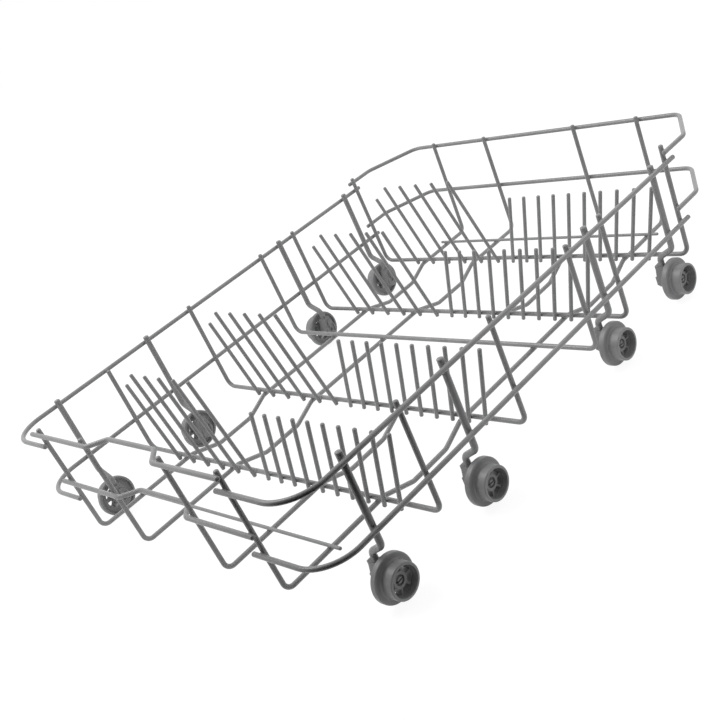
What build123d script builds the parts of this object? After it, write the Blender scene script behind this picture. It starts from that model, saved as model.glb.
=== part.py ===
from build123d import *
from math import cos, radians, sin, tan
import os

# Lower rack of a slim dishwasher: coated steel wire, welded, on eight clip-on wheels.
# Millimetres. X to the right, Y to the rear, Z up; the ground is Z = 0 and the
# origin lies on it, under the middle of the rack.

# Wire, measured over its coating
CROSS_D = 4.0
FLOOR_D = 3.9
RAIL_D = 3.9
LEG_D = 5.2
TINE_D = 3.4
TIE_D = 2.8
WELD_SINK = 0.1
TIP_CHAMFER = 0.8

# The basket as a whole
RACK_LENGTH = 532.0
FLOOR_HALF_WIDTH = 184.0
FLOOR_Z = 30.1
SIDE_LEAN = 1.5
END_LEAN = 2.2

# Cross wires, which carry the floor and the side walls
CROSS_1_FROM_FRONT = 96.0
CROSS_1_TO_2 = 101.6
CROSS_3_TO_4 = 46.8
CROSS_4_TO_5 = 100.4
CROSS_5_FROM_REAR = 70.3
CROSS_BEND = 8.0
CROSS_ABOVE_RAIL = 5.4

# Side rails
TOP_RAIL_Z = 115.5
LOWER_RAIL_Z = 61.1
RAIL_PAST_CROSS_5 = 7.8
RAIL_CORNER = 30.0
LEFT_RAIL_PAST_WIRE = 3.0
RIGHT_RAIL_PAST_WIRE = 7.6

# Floor wires, which run front to rear and turn up as the end walls; each stands beside a tine
WIRE_1_CLEAR_OF_TINE = 1.0
WIRE_2_TINE_COUNT = 3
WIRE_2_FROM_TINE = 8.2
WIRE_3_TINE_COUNT = 3
WIRE_3_FROM_TINE = 5.55
WIRE_4_TINE_COUNT = 7
WIRE_4_FROM_TINE = 6.75
FLOOR_WIRE_BEND = 7.0
FRONT_ABOVE_BAR = 3.2
REAR_ABOVE_RAIL = 4.3
DIP_DEPTH = 9.3
DIP_BEND = 10.0
DIP_ENTRY_GAP = 6.6
DIP_ENTRY_RUN = 29.0
DIP_EXIT_GAP = 3.0
DIP_EXIT_RUN = 23.5

# Tie wires, laid across the floor wires at both ends
FRONT_TIE_INSET = 43.5
REAR_TIE_INSET = 31.5
TIE_PAST_LEFT = 5.2
TIE_PAST_RIGHT = 13.0

# Front bars with the recess for the handle
UPPER_BAR_ABOVE_RAIL = 11.9
LOWER_BAR_ABOVE_RAIL = 17.4
BAR_PAST_LEFT = 7.5
BAR_PAST_RIGHT = 5.5
RECESS_DEPTH = 12.4
RECESS_RUN = 14.0
RECESS_BEND = 7.0
RECESS_FROM_WIRE_2 = 12.7
RECESS_FROM_WIRE_3 = 4.7

# Rear rails with cut corners
REAR_UPPER_ABOVE_RAIL = 8.6
REAR_LOWER_ABOVE_RAIL = 13.0
REAR_CROSS_ABOVE_RAIL = 5.5
REAR_RAIL_PAST_CROSS = 4.0
REAR_CUT_WIDTH = 30.0
REAR_CUT_LENGTH = 48.0
REAR_BEND = 14.0

# Tines: a long row on the left, a short and closer row on the right
LONG_COUNT = 6
LONG_FIRST_X = -134.0
LONG_PITCH = 22.2
LONG_LEAN = -17.0
LONG_TOP_Z = 117.4
LONG_FIRST_TOP_Z = 105.3
GROUP_GAP = 18.0
SHORT_COUNT = 10
SHORT_PITCH = 16.85
SHORT_LEAN = 19.0
SHORT_TOP_Z = 95.1
TINE_BELOW_CROSS = 3.3

# Wheel legs, joggled inward over the flanges to their clips
LEG_1_FROM_FRONT = 41.5
LEG_2_BEHIND_CROSS_1 = 47.9
LEG_3_BEFORE_CROSS_4 = 20.3
LEG_4_BEFORE_CROSS_5 = 20.2
LEG_ABOVE_RAIL = 6.0
LEG_JOG_IN = 13.8
LEG_JOG_DROP = 7.7
LEG_BEND = 6.0
JOG_OVER_FLANGE = 2.8

# Wheels
FLANGE_D = 35.6
FLANGE_RIM = 2.4
FLANGE_CUP_DEPTH = 3.0
WEB_THICKNESS = 2.4
FLANGE_ROUND = 1.2
CUP_ROUND = 0.6
TREAD_D = 26.2
TREAD_WIDTH = 9.6
TREAD_WALL = 2.1
TREAD_ROUND = 0.8
ROOT_ROUND = 1.3
HUB_WALL = 2.1
HUB_RECESS = 5.2
BEARING_LENGTH = 5.0
SPOKE_COUNT = 7
SPOKE_WIDTH = 1.4
SPOKE_RECESS = 5.6
WINDOW_LEDGE = 0.4
WINDOW_ROUND = 0.5
WHEEL_TO_CLIP = 1.6
END_PLAY = 0.3

# Wheel clips, pushed on the leg ends
CLIP_BACK = 4.9
CLIP_FRONT = 4.5
CLIP_RISE = 12.7
CLIP_TOP_WIDTH = 7.4
CLIP_FOOT_R = 6.8
CLIP_EDGE = 0.5
SOCKET_CLEARANCE = 0.05
SOCKET_BELOW_LEG = 0.5
SOCKET_FLOOR = 1.2
LIP_RISE = 1.5
LIP_RUN = 4.9
LIP_ROOT = 2.0
BOSS_R = 4.4
PIN_R = 2.5
PIN_CLEARANCE = 0.05
PIN_CORE_R = 1.5
PIN_CORE_DEPTH = 1.2
HEAD_LIP = 0.7
HEAD_CLEARANCE = 0.7
HEAD_TIP_R = 2.1
HEAD_LENGTH = 1.6
SPLIT_WIDTH = 1.1
SPLIT_LENGTH = 6.0

# Slopes and heights that follow from the sizes above
SIDE_SLOPE = tan(radians(SIDE_LEAN))
END_SLOPE = tan(radians(END_LEAN))
LONG_TILT = radians(LONG_LEAN)
SHORT_TILT = radians(SHORT_LEAN)
UPPER_BAR_Z = TOP_RAIL_Z + UPPER_BAR_ABOVE_RAIL
LOWER_BAR_Z = LOWER_RAIL_Z + LOWER_BAR_ABOVE_RAIL
REAR_UPPER_Z = TOP_RAIL_Z + REAR_UPPER_ABOVE_RAIL
REAR_LOWER_Z = LOWER_RAIL_Z + REAR_LOWER_ABOVE_RAIL
FLOOR_WIRE_Z = FLOOR_Z - (CROSS_D + FLOOR_D) / 2 + WELD_SINK
TIE_Z = FLOOR_WIRE_Z + (FLOOR_D + TIE_D) / 2 - WELD_SINK

# Distances between wires that touch at a weld
RAIL_ON_CROSS = ((CROSS_D + RAIL_D) / 2 - WELD_SINK) / cos(radians(SIDE_LEAN))
LEG_ON_RAIL = ((LEG_D + RAIL_D) / 2 - WELD_SINK) / cos(radians(SIDE_LEAN))
RAIL_ON_FLOOR_WIRE = ((FLOOR_D + RAIL_D) / 2 - WELD_SINK) / cos(radians(END_LEAN))
TINE_ON_CROSS = (CROSS_D + TINE_D) / 2 - WELD_SINK

# Places along the basket
WALL_AT_BAR = RACK_LENGTH / 2 - RAIL_D / 2 - RAIL_ON_FLOOR_WIRE
FRONT_FLOOR_Y = (UPPER_BAR_Z - FLOOR_WIRE_Z) * END_SLOPE - WALL_AT_BAR
REAR_FLOOR_Y = WALL_AT_BAR - (REAR_UPPER_Z - FLOOR_WIRE_Z) * END_SLOPE
CROSS_1_Y = FRONT_FLOOR_Y + CROSS_1_FROM_FRONT
CROSS_5_Y = REAR_FLOOR_Y - CROSS_5_FROM_REAR
CROSS_4_Y = CROSS_5_Y - CROSS_4_TO_5
CROSS_Y = (CROSS_1_Y, CROSS_1_Y + CROSS_1_TO_2, CROSS_4_Y - CROSS_3_TO_4, CROSS_4_Y, CROSS_5_Y)
RAIL_REAR_Y = CROSS_5_Y + RAIL_PAST_CROSS_5
LEG_Y = (
    FRONT_FLOOR_Y + LEG_1_FROM_FRONT,
    CROSS_1_Y + LEG_2_BEHIND_CROSS_1,
    CROSS_4_Y - LEG_3_BEFORE_CROSS_4,
    CROSS_5_Y - LEG_4_BEFORE_CROSS_5,
)

# Places across the basket
SHORT_FIRST_X = LONG_FIRST_X + (LONG_COUNT - 1) * LONG_PITCH + GROUP_GAP
FLOOR_WIRE_X = (
    LONG_FIRST_X + (TINE_D + FLOOR_D) / 2 + WIRE_1_CLEAR_OF_TINE,
    LONG_FIRST_X + WIRE_2_TINE_COUNT * LONG_PITCH + WIRE_2_FROM_TINE,
    SHORT_FIRST_X + WIRE_3_TINE_COUNT * SHORT_PITCH + WIRE_3_FROM_TINE,
    SHORT_FIRST_X + WIRE_4_TINE_COUNT * SHORT_PITCH + WIRE_4_FROM_TINE,
)

# Legs, clips and wheels: the leg passes over the flange and ends in the clip's socket
AXLE_Z = FLANGE_D / 2
LEG_DROP_Z = FLANGE_D + JOG_OVER_FLANGE
LEG_JOG_Z = LEG_DROP_Z + LEG_JOG_DROP
LEG_END_Z = AXLE_Z - CLIP_FOOT_R + SOCKET_FLOOR + SOCKET_BELOW_LEG
LEG_AT_JOG_X = FLOOR_HALF_WIDTH + (LEG_JOG_Z - FLOOR_Z) * SIDE_SLOPE + RAIL_ON_CROSS - LEG_ON_RAIL
CLIP_X = LEG_AT_JOG_X - LEG_JOG_IN
CLIP_TOP_Z = AXLE_Z + CLIP_RISE + LIP_RISE
WHEEL_BACK_X = CLIP_X + CLIP_FRONT + WHEEL_TO_CLIP
HUB_BACK_X = WHEEL_BACK_X + FLANGE_CUP_DEPTH
TREAD_X = HUB_BACK_X + WEB_THICKNESS
WHEEL_FACE_X = TREAD_X + TREAD_WIDTH
HUB_FACE_X = WHEEL_FACE_X - HUB_RECESS
SPOKE_FACE_X = WHEEL_FACE_X - SPOKE_RECESS
BEARING_END_X = HUB_BACK_X + BEARING_LENGTH
FLANGE_R = FLANGE_D / 2
FLANGE_CUP_R = FLANGE_R - FLANGE_RIM
TREAD_R = TREAD_D / 2
RIM_R = TREAD_R - TREAD_WALL
BORE_R = PIN_R + PIN_CLEARANCE
HEAD_R = PIN_R + HEAD_LIP
COUNTERBORE_R = HEAD_R + HEAD_CLEARANCE
HUB_R = COUNTERBORE_R + HUB_WALL

os.makedirs("parts", exist_ok=True)


def cross_x(z):
    """Distance of a cross wire's upright from the middle plane at a height."""
    return FLOOR_HALF_WIDTH + (z - FLOOR_Z) * SIDE_SLOPE


def rail_x(z):
    """Distance of a side rail from the middle plane; it lies outside the uprights."""
    return cross_x(z) + RAIL_ON_CROSS


def leg_x(z):
    """Distance of a wheel leg from the middle plane; it stands inside the rails."""
    return rail_x(z) - LEG_ON_RAIL


def front_y(z):
    """Place of the front wall's uprights at a height."""
    return FRONT_FLOOR_Y - (z - FLOOR_WIRE_Z) * END_SLOPE


def rear_y(z):
    """Place of the rear wall's uprights at a height."""
    return REAR_FLOOR_Y + (z - FLOOR_WIRE_Z) * END_SLOPE


def bent_wire(name, diameter, points, bends):
    """A round wire bent along a row of points, with eased ends."""
    with BuildPart() as wire:
        with BuildLine() as path:
            FilletPolyline(*points, radius=bends)
        with BuildSketch(Plane(path.line @ 0, z_dir=path.line % 0)):
            Circle(diameter / 2)
        sweep()
        tips = wire.faces().filter_by(GeomType.PLANE)
        chamfer(tips.edges(), TIP_CHAMFER)
    wire.part.label = name
    export_step(wire.part, f"parts/{name}.step")
    return wire.part


def cross_wire(name, y, left_top, right_top):
    """A floor wire that turns up at both sides."""
    points = (
        (-cross_x(left_top), y, left_top),
        (-FLOOR_HALF_WIDTH, y, FLOOR_Z),
        (FLOOR_HALF_WIDTH, y, FLOOR_Z),
        (cross_x(right_top), y, right_top),
    )
    return bent_wire(name, CROSS_D, points, CROSS_BEND)


def dip(x, front_cross, rear_cross):
    """The four corners of the sag in a floor wire between two cross wires."""
    start = front_cross + DIP_ENTRY_GAP
    end = rear_cross - DIP_EXIT_GAP
    low = FLOOR_WIRE_Z - DIP_DEPTH
    return (
        (x, start, FLOOR_WIRE_Z),
        (x, start + DIP_ENTRY_RUN, low),
        (x, end - DIP_EXIT_RUN, low),
        (x, end, FLOOR_WIRE_Z),
    )


def floor_wire(name, x):
    """A wire from the front wall along the floor to the rear wall, with two sags."""
    front_top = UPPER_BAR_Z + FRONT_ABOVE_BAR
    rear_top = REAR_UPPER_Z + REAR_ABOVE_RAIL
    points = (
        (x, front_y(front_top), front_top),
        (x, FRONT_FLOOR_Y, FLOOR_WIRE_Z),
        *dip(x, CROSS_Y[0], CROSS_Y[1]),
        *dip(x, CROSS_Y[3], CROSS_Y[4]),
        (x, REAR_FLOOR_Y, FLOOR_WIRE_Z),
        (x, rear_y(rear_top), rear_top),
    )
    bends = [FLOOR_WIRE_BEND] + [DIP_BEND] * 8 + [FLOOR_WIRE_BEND]
    return bent_wire(name, FLOOR_D, points, bends)


def side_rail(name, side, end_x, z):
    """A rail along one side that turns across the front."""
    y = front_y(z) - RAIL_ON_FLOOR_WIRE
    points = (
        (end_x, y, z),
        (side * rail_x(z), y, z),
        (side * rail_x(z), RAIL_REAR_Y, z),
    )
    return bent_wire(name, RAIL_D, points, RAIL_CORNER)


def front_bar(name, z):
    """A bar across the front wall, set back in the middle for a hand."""
    y = front_y(z) - RAIL_ON_FLOOR_WIRE
    left = FLOOR_WIRE_X[1] + RECESS_FROM_WIRE_2
    right = FLOOR_WIRE_X[2] - RECESS_FROM_WIRE_3
    points = (
        (FLOOR_WIRE_X[0] - BAR_PAST_LEFT, y, z),
        (left, y, z),
        (left + RECESS_RUN, y + RECESS_DEPTH, z),
        (right - RECESS_RUN, y + RECESS_DEPTH, z),
        (right, y, z),
        (FLOOR_WIRE_X[3] + BAR_PAST_RIGHT, y, z),
    )
    return bent_wire(name, RAIL_D, points, RECESS_BEND)


def rear_rail(name, z):
    """A rail round the rear from one last upright to the other, with cut corners."""
    x = rail_x(z)
    y = rear_y(z) + RAIL_ON_FLOOR_WIRE
    start = CROSS_Y[4] - REAR_RAIL_PAST_CROSS
    points = (
        (-x, start, z),
        (-x, y - REAR_CUT_LENGTH, z),
        (REAR_CUT_WIDTH - x, y, z),
        (x - REAR_CUT_WIDTH, y, z),
        (x, y - REAR_CUT_LENGTH, z),
        (x, start, z),
    )
    return bent_wire(name, RAIL_D, points, REAR_BEND)


def tie_wire(name, y):
    """A straight thin wire across the floor wires."""
    left = FLOOR_WIRE_X[0] - TIE_PAST_LEFT
    length = FLOOR_WIRE_X[3] + TIE_PAST_RIGHT - left
    with BuildPart() as wire:
        with BuildSketch(Plane((left, y, TIE_Z), z_dir=(1, 0, 0))):
            Circle(TIE_D / 2)
        extrude(amount=length)
        chamfer(wire.faces().filter_by(Axis.X).edges(), TIP_CHAMFER)
    wire.part.label = name
    export_step(wire.part, f"parts/{name}.step")
    return wire.part


def tine_row(name, cross_y, first_x, pitch, tilt, tops):
    """A row of leaning tines welded to the front of a cross wire."""
    foot = FLOOR_Z - TINE_BELOW_CROSS
    with BuildPart() as row:
        for i, top in enumerate(tops):
            base = (first_x + i * pitch, cross_y - TINE_ON_CROSS, foot)
            with BuildSketch(Plane(base, z_dir=(sin(tilt), 0, cos(tilt)))):
                Circle(TINE_D / 2)
            extrude(amount=(top - foot) / cos(tilt))
        chamfer(row.faces().filter_by(GeomType.PLANE).edges(), TIP_CHAMFER)
    row.part.label = name
    export_step(row.part, f"parts/{name}.step")
    return row.part


def wheel_leg(name, side, y):
    """A thick wire from the top rail down and inward to a wheel clip."""
    top = TOP_RAIL_Z + LEG_ABOVE_RAIL
    points = (
        (side * leg_x(top), y, top),
        (side * LEG_AT_JOG_X, y, LEG_JOG_Z),
        (side * CLIP_X, y, LEG_DROP_Z),
        (side * CLIP_X, y, LEG_END_Z),
    )
    return bent_wire(name, LEG_D, points, LEG_BEND)


def axle_plane(side, y, x):
    """A plane square to the axle, facing outward, with its own Y up."""
    return Plane((side * x, y, AXLE_Z), x_dir=(0, side, 0), z_dir=(side, 0, 0))


def section_plane(side, y):
    """An upright plane through the axle, with its own X outward and Y up from the axle."""
    return Plane((0, y, AXLE_Z), x_dir=(side, 0, 0), z_dir=(0, -side, 0))


def wheel(name, side, y):
    """A flanged wheel: flange, tread, spoked web and hub turned in one."""
    axle = Axis((0, y, AXLE_Z), (side, 0, 0))
    with BuildPart() as roller:
        with BuildSketch(section_plane(side, y)):
            with BuildLine():
                Polyline(
                    (WHEEL_BACK_X, FLANGE_R),
                    (TREAD_X, FLANGE_R),
                    (TREAD_X, TREAD_R),
                    (WHEEL_FACE_X, TREAD_R),
                    (WHEEL_FACE_X, RIM_R),
                    (SPOKE_FACE_X, RIM_R),
                    (SPOKE_FACE_X, HUB_R),
                    (HUB_FACE_X, HUB_R),
                    (HUB_FACE_X, COUNTERBORE_R),
                    (BEARING_END_X, COUNTERBORE_R),
                    (BEARING_END_X, BORE_R),
                    (HUB_BACK_X, BORE_R),
                    (HUB_BACK_X, FLANGE_CUP_R),
                    (WHEEL_BACK_X, FLANGE_CUP_R),
                    close=True,
                )
            make_face()
        revolve(axis=axle)
        circles = roller.edges().filter_by(GeomType.CIRCLE).sort_by(SortBy.RADIUS)
        flange_edges = circles[-2:]
        cup_edges = circles[-4:-2]
        tread_edges = circles[-6:-4].sort_by(axle)
        fillet(flange_edges, FLANGE_ROUND)
        fillet(cup_edges, CUP_ROUND)
        fillet(tread_edges[0], ROOT_ROUND)
        fillet(tread_edges[-1], TREAD_ROUND)
        with BuildSketch(axle_plane(side, y, HUB_BACK_X)) as windows:
            Circle(RIM_R - WINDOW_LEDGE)
            Circle(HUB_R + WINDOW_LEDGE, mode=Mode.SUBTRACT)
            with PolarLocations((HUB_R + RIM_R) / 2, SPOKE_COUNT):
                Rectangle(RIM_R - HUB_R, SPOKE_WIDTH, mode=Mode.SUBTRACT)
            fillet(windows.vertices(), WINDOW_ROUND)
        extrude(amount=SPOKE_FACE_X - HUB_BACK_X, mode=Mode.SUBTRACT)
        # The one moulding is parted where tread and flange meet, each part round and full outside
        split(bisect_by=axle_plane(side, y, TREAD_X), keep=Keep.BOTH)
    roller.part.label = name
    export_step(roller.part, f"parts/{name}.step")
    return roller.part


def wheel_clip(name, side, y):
    """A moulded clip: socket for the leg, a lip up its back, and the split pin the wheel turns on."""
    back = CLIP_X - CLIP_BACK
    face = CLIP_X + CLIP_FRONT
    boss_end = HUB_BACK_X - END_PLAY
    head_x = BEARING_END_X + END_PLAY
    axle = Axis((0, y, AXLE_Z), (side, 0, 0))
    with BuildPart() as clip:
        with BuildSketch(axle_plane(side, y, back)):
            Circle(CLIP_FOOT_R)
            with BuildLine():
                Polyline(
                    (-CLIP_FOOT_R, 0),
                    (CLIP_FOOT_R, 0),
                    (CLIP_TOP_WIDTH / 2, CLIP_RISE),
                    (-CLIP_TOP_WIDTH / 2, CLIP_RISE),
                    close=True,
                )
            make_face()
        extrude(amount=face - back)
        chamfer(clip.faces().filter_by(Axis.X).edges(), CLIP_EDGE)
        with BuildSketch(section_plane(side, y)):
            with BuildLine():
                Polyline(
                    (back, CLIP_RISE - LIP_ROOT),
                    (back, CLIP_RISE + LIP_RISE),
                    (back + LIP_RUN, CLIP_RISE - CLIP_EDGE),
                    (back + LIP_RUN, CLIP_RISE - LIP_ROOT),
                    close=True,
                )
            make_face()
        extrude(amount=CLIP_TOP_WIDTH / 2, both=True)
        with BuildSketch(section_plane(side, y)):
            with BuildLine():
                Polyline(
                    (face - CLIP_EDGE, 0),
                    (face - CLIP_EDGE, BOSS_R),
                    (boss_end, BOSS_R),
                    (boss_end, PIN_R),
                    (head_x, PIN_R),
                    (head_x, HEAD_R),
                    (head_x + HEAD_LENGTH, HEAD_TIP_R),
                    (head_x + HEAD_LENGTH, 0),
                    close=True,
                )
            make_face()
        revolve(axis=axle)
        with BuildSketch(Plane((side * CLIP_X, y, CLIP_TOP_Z))):
            Circle(LEG_D / 2 + SOCKET_CLEARANCE)
        extrude(amount=LEG_END_Z - SOCKET_BELOW_LEG - CLIP_TOP_Z, mode=Mode.SUBTRACT)
        with BuildSketch(axle_plane(side, y, back)):
            Circle(PIN_CORE_R)
        extrude(amount=PIN_CORE_DEPTH, mode=Mode.SUBTRACT)
        with BuildSketch(axle_plane(side, y, head_x + HEAD_LENGTH)):
            Rectangle(HEAD_R * 2, SPLIT_WIDTH)
        extrude(amount=-SPLIT_LENGTH, mode=Mode.SUBTRACT)
    clip.part.label = name
    export_step(clip.part, f"parts/{name}.step")
    return clip.part


# Floor and walls
cross_top = TOP_RAIL_Z + CROSS_ABOVE_RAIL
rear_cross_top = REAR_UPPER_Z + REAR_CROSS_ABOVE_RAIL
cross_wire("cross_wire_1", CROSS_Y[0], TOP_RAIL_Z, cross_top)
for i in (1, 2, 3):
    cross_wire(f"cross_wire_{i + 1}", CROSS_Y[i], cross_top, cross_top)
cross_wire("cross_wire_5", CROSS_Y[4], rear_cross_top, rear_cross_top)
for i, x in enumerate(FLOOR_WIRE_X):
    floor_wire(f"floor_wire_{i + 1}", x)
tie_wire("front_tie_wire", FRONT_FLOOR_Y + FRONT_TIE_INSET)
tie_wire("rear_tie_wire", REAR_FLOOR_Y - REAR_TIE_INSET)

# Rails round the basket
left_end = FLOOR_WIRE_X[0] + LEFT_RAIL_PAST_WIRE
right_end = FLOOR_WIRE_X[3] - RIGHT_RAIL_PAST_WIRE
side_rail("left_top_rail", -1, left_end, TOP_RAIL_Z)
side_rail("left_lower_rail", -1, left_end, LOWER_RAIL_Z)
side_rail("right_top_rail", 1, right_end, TOP_RAIL_Z)
side_rail("right_lower_rail", 1, right_end, LOWER_RAIL_Z)
front_bar("front_upper_bar", UPPER_BAR_Z)
front_bar("front_lower_bar", LOWER_BAR_Z)
rear_rail("rear_upper_rail", REAR_UPPER_Z)
rear_rail("rear_lower_rail", REAR_LOWER_Z)

# Tines, on every cross wire but the middle one
long_tops = [LONG_FIRST_TOP_Z] + [LONG_TOP_Z] * (LONG_COUNT - 1)
short_tops = [SHORT_TOP_Z] * SHORT_COUNT
for i, cross in enumerate((CROSS_Y[0], CROSS_Y[1], CROSS_Y[3], CROSS_Y[4])):
    tine_row(f"long_tines_{i + 1}", cross, LONG_FIRST_X, LONG_PITCH, LONG_TILT, long_tops)
    tine_row(f"short_tines_{i + 1}", cross, SHORT_FIRST_X, SHORT_PITCH, SHORT_TILT, short_tops)

# Legs, clips and wheels on both sides
for side, word in ((-1, "left"), (1, "right")):
    for i, y in enumerate(LEG_Y):
        wheel_leg(f"wheel_leg_{word}_{i + 1}", side, y)
        wheel_clip(f"wheel_clip_{word}_{i + 1}", side, y)
        wheel(f"wheel_{word}_{i + 1}", side, y)
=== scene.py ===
"""Looks of a wire dishwasher basket on clip-on wheels, built around its CAD frame."""

import math

import bmesh
import bpy
from mathutils import Matrix, Vector


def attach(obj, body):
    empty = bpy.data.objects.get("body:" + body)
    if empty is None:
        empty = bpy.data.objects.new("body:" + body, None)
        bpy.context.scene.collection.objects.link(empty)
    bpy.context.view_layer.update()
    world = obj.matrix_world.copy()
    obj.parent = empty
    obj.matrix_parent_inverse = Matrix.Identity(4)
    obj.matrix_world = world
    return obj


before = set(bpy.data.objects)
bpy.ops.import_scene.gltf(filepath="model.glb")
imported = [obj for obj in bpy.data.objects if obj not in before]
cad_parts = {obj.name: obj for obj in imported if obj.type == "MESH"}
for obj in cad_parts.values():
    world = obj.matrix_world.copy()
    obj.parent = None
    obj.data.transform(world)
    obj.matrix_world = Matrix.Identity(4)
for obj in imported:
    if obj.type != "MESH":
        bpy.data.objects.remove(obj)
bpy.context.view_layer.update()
MM = 0.001

# Camera, fitted to the photograph, in metres
CAMERA_AT = (0.666742, -0.519723, 0.420138)
CAMERA_RIGHT = (0.66867289, 0.64009082, -0.37836529)
CAMERA_DOWN = (0.05475928, -0.549869, -0.83345396)
CAMERA_AHEAD = (-0.74153758, 0.53658906, -0.40273341)
CAMERA_NEAR = 0.01
LENS_MM = 53.097
SENSOR_MM = 36.0

# Wires as the CAD places them, in millimetres
CROSS_Y = (-160.36, -58.76, 38.99, 85.79, 186.19)
TINED_ROWS = (0, 1, 3, 4)
FLOOR_WIRE_X = (-129.35, -59.2, 51.1, 119.7)
LEG_Y = (-214.86, -112.46, 65.49, 165.99)
FLOOR_Z = 30.1
FLOOR_WIRE_Z = 26.25
SIDE_RAIL_Z = (115.5, 61.1)
FRONT_BAR_Z = (127.4, 78.5)
REAR_RAIL_Z = (124.1, 74.1)
TIE_Y = (-212.86, 224.99)
LONG_FIRST_X, LONG_PITCH, LONG_COUNT = -134.0, 22.2, 6
SHORT_FIRST_X, SHORT_PITCH, SHORT_COUNT = -5.0, 16.85, 10
HALF_WIDTH = 184.0
FRONT_Y, REAR_Y = -256.36, 256.49
SIDE_SLOPE, END_SLOPE = 0.02619, 0.03842
CROSS_R, FLOOR_R = 2.0, 1.95
LEG_SINK = 0.1
TIP_CHAMFER = 0.8
SIDES = (-1, 1)

# Finishes: the dark and the light grey, and the roughness
WIRE_GREYS, WIRE_ROUGHNESS = (0.260, 0.290), 0.26
WHEEL_GREYS, WHEEL_ROUGHNESS = (0.235, 0.255), 0.42
CLIP_GREYS, CLIP_ROUGHNESS = (0.220, 0.240), 0.45
BLUE_CAST = 0.005
MOTTLE_STOPS = (0.35, 0.65)
PLASTIC_IOR = 1.5
NOISE_DETAIL = 2.0
# Noise scales of the mottling and the grain, then the grain's strength and height in metres
COATING_GRAIN = (60.0, 900.0, 0.05, 0.0004)
MOULDED_GRAIN = (90.0, 1600.0, 0.08, 0.0003)


def node(tree, kind, **sockets):
    """A node of a kind, with its inputs set by name."""
    made = tree.nodes.new(kind)
    for key, value in sockets.items():
        made.inputs[key.replace("_", " ")].default_value = value
    return made


def noise(tree, coords, scale):
    """Noise in object space."""
    made = node(tree, "ShaderNodeTexNoise", Scale=scale, Detail=NOISE_DETAIL)
    tree.links.new(coords.outputs["Object"], made.inputs["Vector"])
    return made.outputs["Fac"]


def grey_finish(name, greys, grain, roughness):
    """A grey finish, mottled a little between two tones, with a fine grain."""
    mottle_scale, grain_scale, strength, height = grain
    material = bpy.data.materials.new(name)
    material.use_nodes = True
    tree = material.node_tree
    shader = tree.nodes["Principled BSDF"]
    coords = tree.nodes.new("ShaderNodeTexCoord")
    tones = tree.nodes.new("ShaderNodeValToRGB")
    for stop, place, grey in zip(tones.color_ramp.elements, MOTTLE_STOPS, greys):
        stop.position = place
        stop.color = (grey, grey, grey + BLUE_CAST, 1)
    tree.links.new(noise(tree, coords, mottle_scale), tones.inputs["Fac"])
    tree.links.new(tones.outputs["Color"], shader.inputs["Base Color"])
    bump = node(tree, "ShaderNodeBump", Strength=strength, Distance=height)
    tree.links.new(noise(tree, coords, grain_scale), bump.inputs["Height"])
    tree.links.new(bump.outputs["Normal"], shader.inputs["Normal"])
    shader.inputs["Roughness"].default_value = roughness
    shader.inputs["IOR"].default_value = PLASTIC_IOR
    return material


def dress(nodes, material):
    """Gives CAD nodes a material."""
    for name in nodes:
        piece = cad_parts[name]
        piece.data.materials.clear()
        piece.data.materials.append(material)


WIRE = grey_finish("coated_wire", WIRE_GREYS, COATING_GRAIN, WIRE_ROUGHNESS)
WHEEL = grey_finish("wheel_plastic", WHEEL_GREYS, MOULDED_GRAIN, WHEEL_ROUGHNESS)
CLIP = grey_finish("clip_plastic", CLIP_GREYS, MOULDED_GRAIN, CLIP_ROUGHNESS)
wheels = [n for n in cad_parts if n.startswith(("wheel_left", "wheel_right"))]
clips = [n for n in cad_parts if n.startswith("wheel_clip")]
wires = [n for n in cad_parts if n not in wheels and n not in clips]
dress(wires, WIRE)
dress(clips, CLIP)
dress(wheels, WHEEL)


def linked_piece(name, work, material):
    """An object of a finished mesh, linked to the scene."""
    mesh = bpy.data.meshes.new(name)
    work.to_mesh(mesh)
    work.free()
    mesh.materials.append(material)
    piece = bpy.data.objects.new(name, mesh)
    bpy.context.scene.collection.objects.link(piece)
    return piece


def basket_piece(name, mesh_maker, material, smooth):
    """A piece of the scene's own that rides on the basket."""
    work = bmesh.new()
    mesh_maker(work)
    bmesh.ops.recalc_face_normals(work, faces=work.faces)
    for face in work.faces:
        face.smooth = smooth
    piece = linked_piece(name, work, material)
    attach(piece, "basket")


# Tests for the round flat end of a wire
MERGE_M = 1e-6
SAME_WAY = 0.99999
DISC_CORNERS = 8
DISC_MAX_R = 2.5
DISC_ROUNDNESS = 0.9


def flat_patch(start, seen):
    """The faces round one face that lie in its plane."""
    patch, queue = [start], [start]
    while queue:
        for edge in queue.pop().edges:
            for other in edge.link_faces:
                if other.index not in seen and other.normal.dot(start.normal) > SAME_WAY:
                    seen.add(other.index)
                    patch.append(other)
                    queue.append(other)
    return patch


def flat_discs(mesh):
    """Centre, outward normal and radius of each round flat end in a wire's mesh."""
    work = bmesh.new()
    work.from_mesh(mesh)
    bmesh.ops.remove_doubles(work, verts=work.verts, dist=MERGE_M)
    bmesh.ops.recalc_face_normals(work, faces=work.faces)
    seen, discs = set(), []
    for start in work.faces:
        if start.index in seen:
            continue
        seen.add(start.index)
        corners = {v for face in flat_patch(start, seen) for v in face.verts}
        if len(corners) < DISC_CORNERS:
            continue
        centre = sum((v.co for v in corners), Vector()) / len(corners)
        reach = [(v.co - centre).length for v in corners]
        if max(reach) < DISC_MAX_R * MM and min(reach) > DISC_ROUNDNESS * max(reach):
            discs.append((centre, start.normal.copy(), max(reach)))
    work.free()
    return discs


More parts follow.
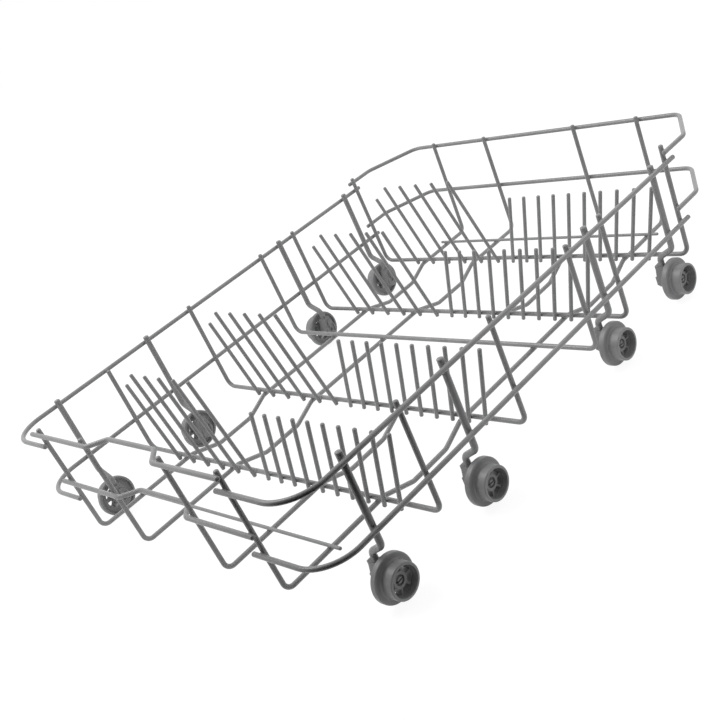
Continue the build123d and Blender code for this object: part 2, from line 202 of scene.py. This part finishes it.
# Height in millimetres above the wire's end and share of its radius, from inside the wire to the crown
DROP_OUTLINE = (
    (-1.5, 0.0),
    (-1.5, 0.98),
    (-1.4, 1.0),
    (-0.8, 1.0),
    (-0.45, 0.95),
    (-0.12, 0.80),
    (0.14, 0.57),
    (0.29, 0.30),
    (0.34, 0.0),
)
DROP_SIDES = 16
DROP_PROUD = 0.03
DROP_MERGE = 1e-4


def drop_mesh():
    """One drop of coating for a wire of unit radius, spun from its outline."""
    work = bmesh.new()
    outline = [work.verts.new((share, 0, height)) for height, share in DROP_OUTLINE]
    edges = [work.edges.new(pair) for pair in zip(outline, outline[1:])]
    bmesh.ops.spin(
        work,
        geom=outline + edges,
        cent=(0, 0, 0),
        axis=(0, 0, 1),
        angle=2 * math.pi,
        steps=DROP_SIDES,
        use_merge=True,
    )
    bmesh.ops.remove_doubles(work, verts=work.verts, dist=DROP_MERGE)
    mesh = bpy.data.meshes.new("drop")
    work.to_mesh(mesh)
    work.free()
    return mesh


def coating_tips(work):
    """Round drops of coating on the wires' ends."""
    drop = drop_mesh()
    for name in wires:
        for centre, normal, radius in flat_discs(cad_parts[name].data):
            # A leg's lower end sits in its clip
            if name.startswith("wheel_leg") and normal.z < 0:
                continue
            full = radius + (TIP_CHAMFER + DROP_PROUD) * MM
            first = len(work.verts)
            work.from_mesh(drop)
            work.verts.ensure_lookup_table()
            turn = normal.to_track_quat("Z", "Y").to_matrix().to_4x4()
            place = Matrix.Translation(centre) @ turn @ Matrix.Diagonal((full, full, MM, 1))
            bmesh.ops.transform(work, matrix=place, verts=work.verts[first:])
    bpy.data.meshes.remove(drop)


# Radii of the coating that pools at welds, in millimetres, and its flatness
WIRE_POOL = 1.9
LEG_POOL = 2.1
TIE_POOL = 1.5
TINE_POOL = 1.75
POOL_FLAT = 0.8
POOL_AROUND, POOL_ALONG = 14, 8
ALONG_X, ALONG_Y, ALONG_Z = (1, 0, 0), (0, 1, 0), (0, 0, 1)


def side_x(z):
    """Where the cross wires' uprights stand at a height."""
    return HALF_WIDTH + (z - FLOOR_Z) * SIDE_SLOPE


def front_y(z):
    """Where the front uprights stand at a height."""
    return FRONT_Y - (z - FLOOR_WIRE_Z) * END_SLOPE


def rear_y(z):
    """Where the rear uprights stand at a height."""
    return REAR_Y + (z - FLOOR_WIRE_Z) * END_SLOPE


def weld_places():
    """Where two wires touch, the way from one to the other, and the radius of the pool there."""
    for y in CROSS_Y:
        for x in FLOOR_WIRE_X:
            yield (x, y, FLOOR_Z - CROSS_R), ALONG_Z, WIRE_POOL
    for side in SIDES:
        for z in SIDE_RAIL_Z:
            for y in CROSS_Y:
                yield (side * (side_x(z) + CROSS_R), y, z), ALONG_X, WIRE_POOL
            for y in LEG_Y:
                yield (side * (side_x(z) + CROSS_R - LEG_SINK), y, z), ALONG_X, LEG_POOL
        for z in REAR_RAIL_Z:
            yield (side * (side_x(z) + CROSS_R), CROSS_Y[-1], z), ALONG_X, WIRE_POOL
    for x in FLOOR_WIRE_X:
        for z in FRONT_BAR_Z:
            yield (x, front_y(z) - FLOOR_R, z), ALONG_Y, WIRE_POOL
        for z in REAR_RAIL_Z:
            yield (x, rear_y(z) + FLOOR_R, z), ALONG_Y, WIRE_POOL
        for y in TIE_Y:
            yield (x, y, FLOOR_WIRE_Z + FLOOR_R), ALONG_Z, TIE_POOL
    for x in (FLOOR_WIRE_X[0], FLOOR_WIRE_X[-1]):
        for z in SIDE_RAIL_Z:
            yield (x, front_y(z) - FLOOR_R, z), ALONG_Y, WIRE_POOL
    long_x = [LONG_FIRST_X + LONG_PITCH * i for i in range(LONG_COUNT)]
    short_x = [SHORT_FIRST_X + SHORT_PITCH * i for i in range(SHORT_COUNT)]
    for row in TINED_ROWS:
        for x in long_x + short_x:
            yield (x, CROSS_Y[row] - CROSS_R, FLOOR_Z), ALONG_Y, TINE_POOL


def weld_coating(work):
    """Coating that has pooled where wires cross."""
    for spot, way, radius in weld_places():
        turn = Vector(way).to_track_quat("Z", "Y").to_matrix().to_4x4()
        place = Matrix.Translation(Vector(spot) * MM) @ turn @ Matrix.Diagonal((1, 1, POOL_FLAT, 1))
        bmesh.ops.create_uvsphere(
            work, u_segments=POOL_AROUND, v_segments=POOL_ALONG, radius=radius * MM, matrix=place
        )


# Ribs on a clip's back, in millimetres: place along the basket, foot and top over the axle, width
RIBS = ((0.0, 2.7, 10.2, 3.4), (-4.7, -3.6, 4.4, 1.4), (4.7, -3.6, 4.4, 1.4))
AXLE_Z = 17.8
CLIP_BACK_X = 165.12
RIB_RISE = 1.3
RIB_ROOT = 0.3
RIB_EDGE = 0.25
RIB_SEGMENTS = 2


def clip_ribs(work):
    """Moulded ribs that stiffen the clips' backs."""
    rib_x = CLIP_BACK_X + (RIB_ROOT - RIB_RISE) / 2
    for side in SIDES:
        for leg_y in LEG_Y:
            for shift, foot, top, width in RIBS:
                middle = Vector((side * rib_x, leg_y + shift, AXLE_Z + (foot + top) / 2))
                size = Matrix.Diagonal(((RIB_RISE + RIB_ROOT) * MM, width * MM, (top - foot) * MM, 1))
                bmesh.ops.create_cube(work, size=1.0, matrix=Matrix.Translation(middle * MM) @ size)
    bmesh.ops.bevel(
        work,
        geom=work.edges[:],
        offset=RIB_EDGE * MM,
        affect="EDGES",
        segments=RIB_SEGMENTS,
        profile=0.5,
        material=-1,
    )


basket_piece("coating_tips", coating_tips, WIRE, True)
basket_piece("weld_coating", weld_coating, WIRE, True)
basket_piece("clip_ribs", clip_ribs, CLIP, False)


# Floor, in metres: past its edge, in front of the right front corner, it throws almost no light back
REACH = 6.0
FLOOR_Z_M = -0.0005
FLOOR_WAY = (0.79, -0.61, 0.0)
FLOOR_EDGE = (0.31, 0.35)
FLOOR_PALE, FLOOR_DARK = 0.80, 0.03
# What the camera sees of it: its own white, and the part that takes shadows
FLOOR_WHITE, FLOOR_SHADED = 0.91, 0.16
# Flag, in metres, which keeps light off the uprights at the right front corner
FLAG_BLACK = 0.01
FLAG_MIDDLE = (0.214, -0.263, 0.140)
FLAG_WAY = Vector((0.586, 0.810, 0.0))
FLAG_HALF_LENGTH, FLAG_HALF_HEIGHT = 0.16, 0.095
# Lamps, in metres and watts, and the room's light by direction
MIDDLE = (0.0, 0.0, 0.07)
KEY_AT, KEY_SIZE, KEY_WATTS = (-0.9, -0.5, 1.7), (0.9, 0.9), 13.0
REAR_AT, REAR_SIZE, REAR_WATTS = (0.2, 1.7, 1.1), (1.4, 0.9), 3.0
ROOM_BRIGHT_WAY = (-0.55, 0.42, 0.72)
ROOM_RANGE = (-0.60, 0.45)
ROOM_STRENGTH = (0.40, 0.85)
WHITE = (1, 1, 1, 1)


def empty_tree(owner):
    """The node tree of a material or a world, with nothing in it."""
    owner.use_nodes = True
    owner.node_tree.nodes.clear()
    return owner.node_tree


def seen_outright(tree):
    """One for rays from the camera, from gloss and through clear matter, and nought for the rest."""
    path = tree.nodes.new("ShaderNodeLightPath")
    either = tree.nodes.new("ShaderNodeMath")
    either.operation = "MAXIMUM"
    any_of = tree.nodes.new("ShaderNodeMath")
    any_of.operation = "MAXIMUM"
    tree.links.new(path.outputs["Is Camera Ray"], either.inputs[0])
    tree.links.new(path.outputs["Is Glossy Ray"], either.inputs[1])
    tree.links.new(either.outputs[0], any_of.inputs[0])
    tree.links.new(path.outputs["Is Transmission Ray"], any_of.inputs[1])
    return any_of.outputs[0]


def reach_along(tree, coords, way):
    """How far a place or a direction reaches along a way."""
    made = tree.nodes.new("ShaderNodeVectorMath")
    made.operation = "DOT_PRODUCT"
    made.inputs[1].default_value = way
    tree.links.new(coords, made.inputs[0])
    return made.outputs["Value"]


def ranged(tree, reach, levels):
    """A node that takes a reach to levels, from its start to its end."""
    return node(
        tree,
        "ShaderNodeMapRange",
        From_Min=reach[0],
        From_Max=reach[1],
        To_Min=levels[0],
        To_Max=levels[1],
    )


def either_shader(tree, factor, first, second, output):
    """Sends one of two shaders to an output, by a factor."""
    mix = tree.nodes.new("ShaderNodeMixShader")
    out = tree.nodes.new(output)
    tree.links.new(factor, mix.inputs[0])
    tree.links.new(first.outputs[0], mix.inputs[1])
    tree.links.new(second.outputs[0], mix.inputs[2])
    tree.links.new(mix.outputs[0], out.inputs["Surface"])


def floor_material():
    """A pale floor with an edge to its light, seen with extra white so that it stays pale with its shadow."""
    material = bpy.data.materials.new("studio_floor")
    tree = empty_tree(material)
    coords = tree.nodes.new("ShaderNodeTexCoord")
    level = ranged(tree, FLOOR_EDGE, (FLOOR_PALE, FLOOR_DARK))
    tree.links.new(reach_along(tree, coords.outputs["Object"], FLOOR_WAY), level.inputs["Value"])
    plain = tree.nodes.new("ShaderNodeBsdfDiffuse")
    tree.links.new(level.outputs["Result"], plain.inputs["Color"])
    white = node(tree, "ShaderNodeEmission", Color=WHITE, Strength=FLOOR_WHITE)
    faint = node(tree, "ShaderNodeBsdfDiffuse", Color=(FLOOR_SHADED, FLOOR_SHADED, FLOOR_SHADED, 1))
    both = tree.nodes.new("ShaderNodeAddShader")
    tree.links.new(white.outputs[0], both.inputs[0])
    tree.links.new(faint.outputs[0], both.inputs[1])
    either_shader(tree, seen_outright(tree), plain, both, "ShaderNodeOutputMaterial")
    return material


def flag_material():
    """Black to light, and clear to the camera."""
    material = bpy.data.materials.new("black_flag")
    tree = empty_tree(material)
    path = tree.nodes.new("ShaderNodeLightPath")
    black = node(tree, "ShaderNodeBsdfDiffuse", Color=(FLAG_BLACK, FLAG_BLACK, FLAG_BLACK, 1))
    clear = tree.nodes.new("ShaderNodeBsdfTransparent")
    either_shader(tree, path.outputs["Is Camera Ray"], black, clear, "ShaderNodeOutputMaterial")
    return material


def stage_sheet(name, middle, half_length, half_width, material):
    """A flat stage piece round its middle."""
    work = bmesh.new()
    middle, a, b = Vector(middle), Vector(half_length), Vector(half_width)
    corners = (middle - a - b, middle + a - b, middle + a + b, middle - a + b)
    work.faces.new([work.verts.new(corner) for corner in corners])
    piece = linked_piece(name, work, material)


stage_sheet("studio_floor", (0, 0, FLOOR_Z_M), (REACH, 0, 0), (0, REACH, 0), floor_material())
stage_sheet("black_flag", FLAG_MIDDLE, FLAG_WAY * FLAG_HALF_LENGTH, (0, 0, FLAG_HALF_HEIGHT), flag_material())


def soft_light(name, at, size, watts):
    """A rectangular soft box that faces the basket."""
    light = bpy.data.lights.new(name, "AREA")
    light.shape = "RECTANGLE"
    light.size, light.size_y = size
    light.energy = watts
    lamp = bpy.data.objects.new(name, light)
    lamp.location = at
    lamp.rotation_euler = (Vector(MIDDLE) - Vector(at)).to_track_quat("-Z", "Y").to_euler()
    bpy.context.scene.collection.objects.link(lamp)


soft_light("key", KEY_AT, KEY_SIZE, KEY_WATTS)
soft_light("rear", REAR_AT, REAR_SIZE, REAR_WATTS)


def studio_world():
    """Soft light, most of it from above and behind, and white where the camera looks past the floor."""
    world = bpy.data.worlds.new("studio")
    bpy.context.scene.world = world
    tree = empty_tree(world)
    coords = tree.nodes.new("ShaderNodeTexCoord")
    level = ranged(tree, ROOM_RANGE, ROOM_STRENGTH)
    tree.links.new(reach_along(tree, coords.outputs["Generated"], ROOM_BRIGHT_WAY), level.inputs["Value"])
    room = node(tree, "ShaderNodeBackground", Color=WHITE)
    tree.links.new(level.outputs["Result"], room.inputs["Strength"])
    white = node(tree, "ShaderNodeBackground", Color=WHITE, Strength=1.0)
    either_shader(tree, seen_outright(tree), room, white, "ShaderNodeOutputWorld")


studio_world()


def camera():
    """The photograph's point of view."""
    data = bpy.data.cameras.new("camera")
    data.sensor_fit = "AUTO"
    data.sensor_width = SENSOR_MM
    data.lens = LENS_MM
    data.dof.use_dof = False
    data.clip_start = CAMERA_NEAR
    eye = bpy.data.objects.new("camera", data)
    right, up, back = Vector(CAMERA_RIGHT), -Vector(CAMERA_DOWN), -Vector(CAMERA_AHEAD)
    turn = Matrix((right, up, back)).transposed().to_4x4()
    eye.matrix_world = Matrix.Translation(CAMERA_AT) @ turn
    bpy.context.scene.collection.objects.link(eye)
    bpy.context.scene.camera = eye


camera()
bpy.context.scene.view_settings.view_transform = "Standard"
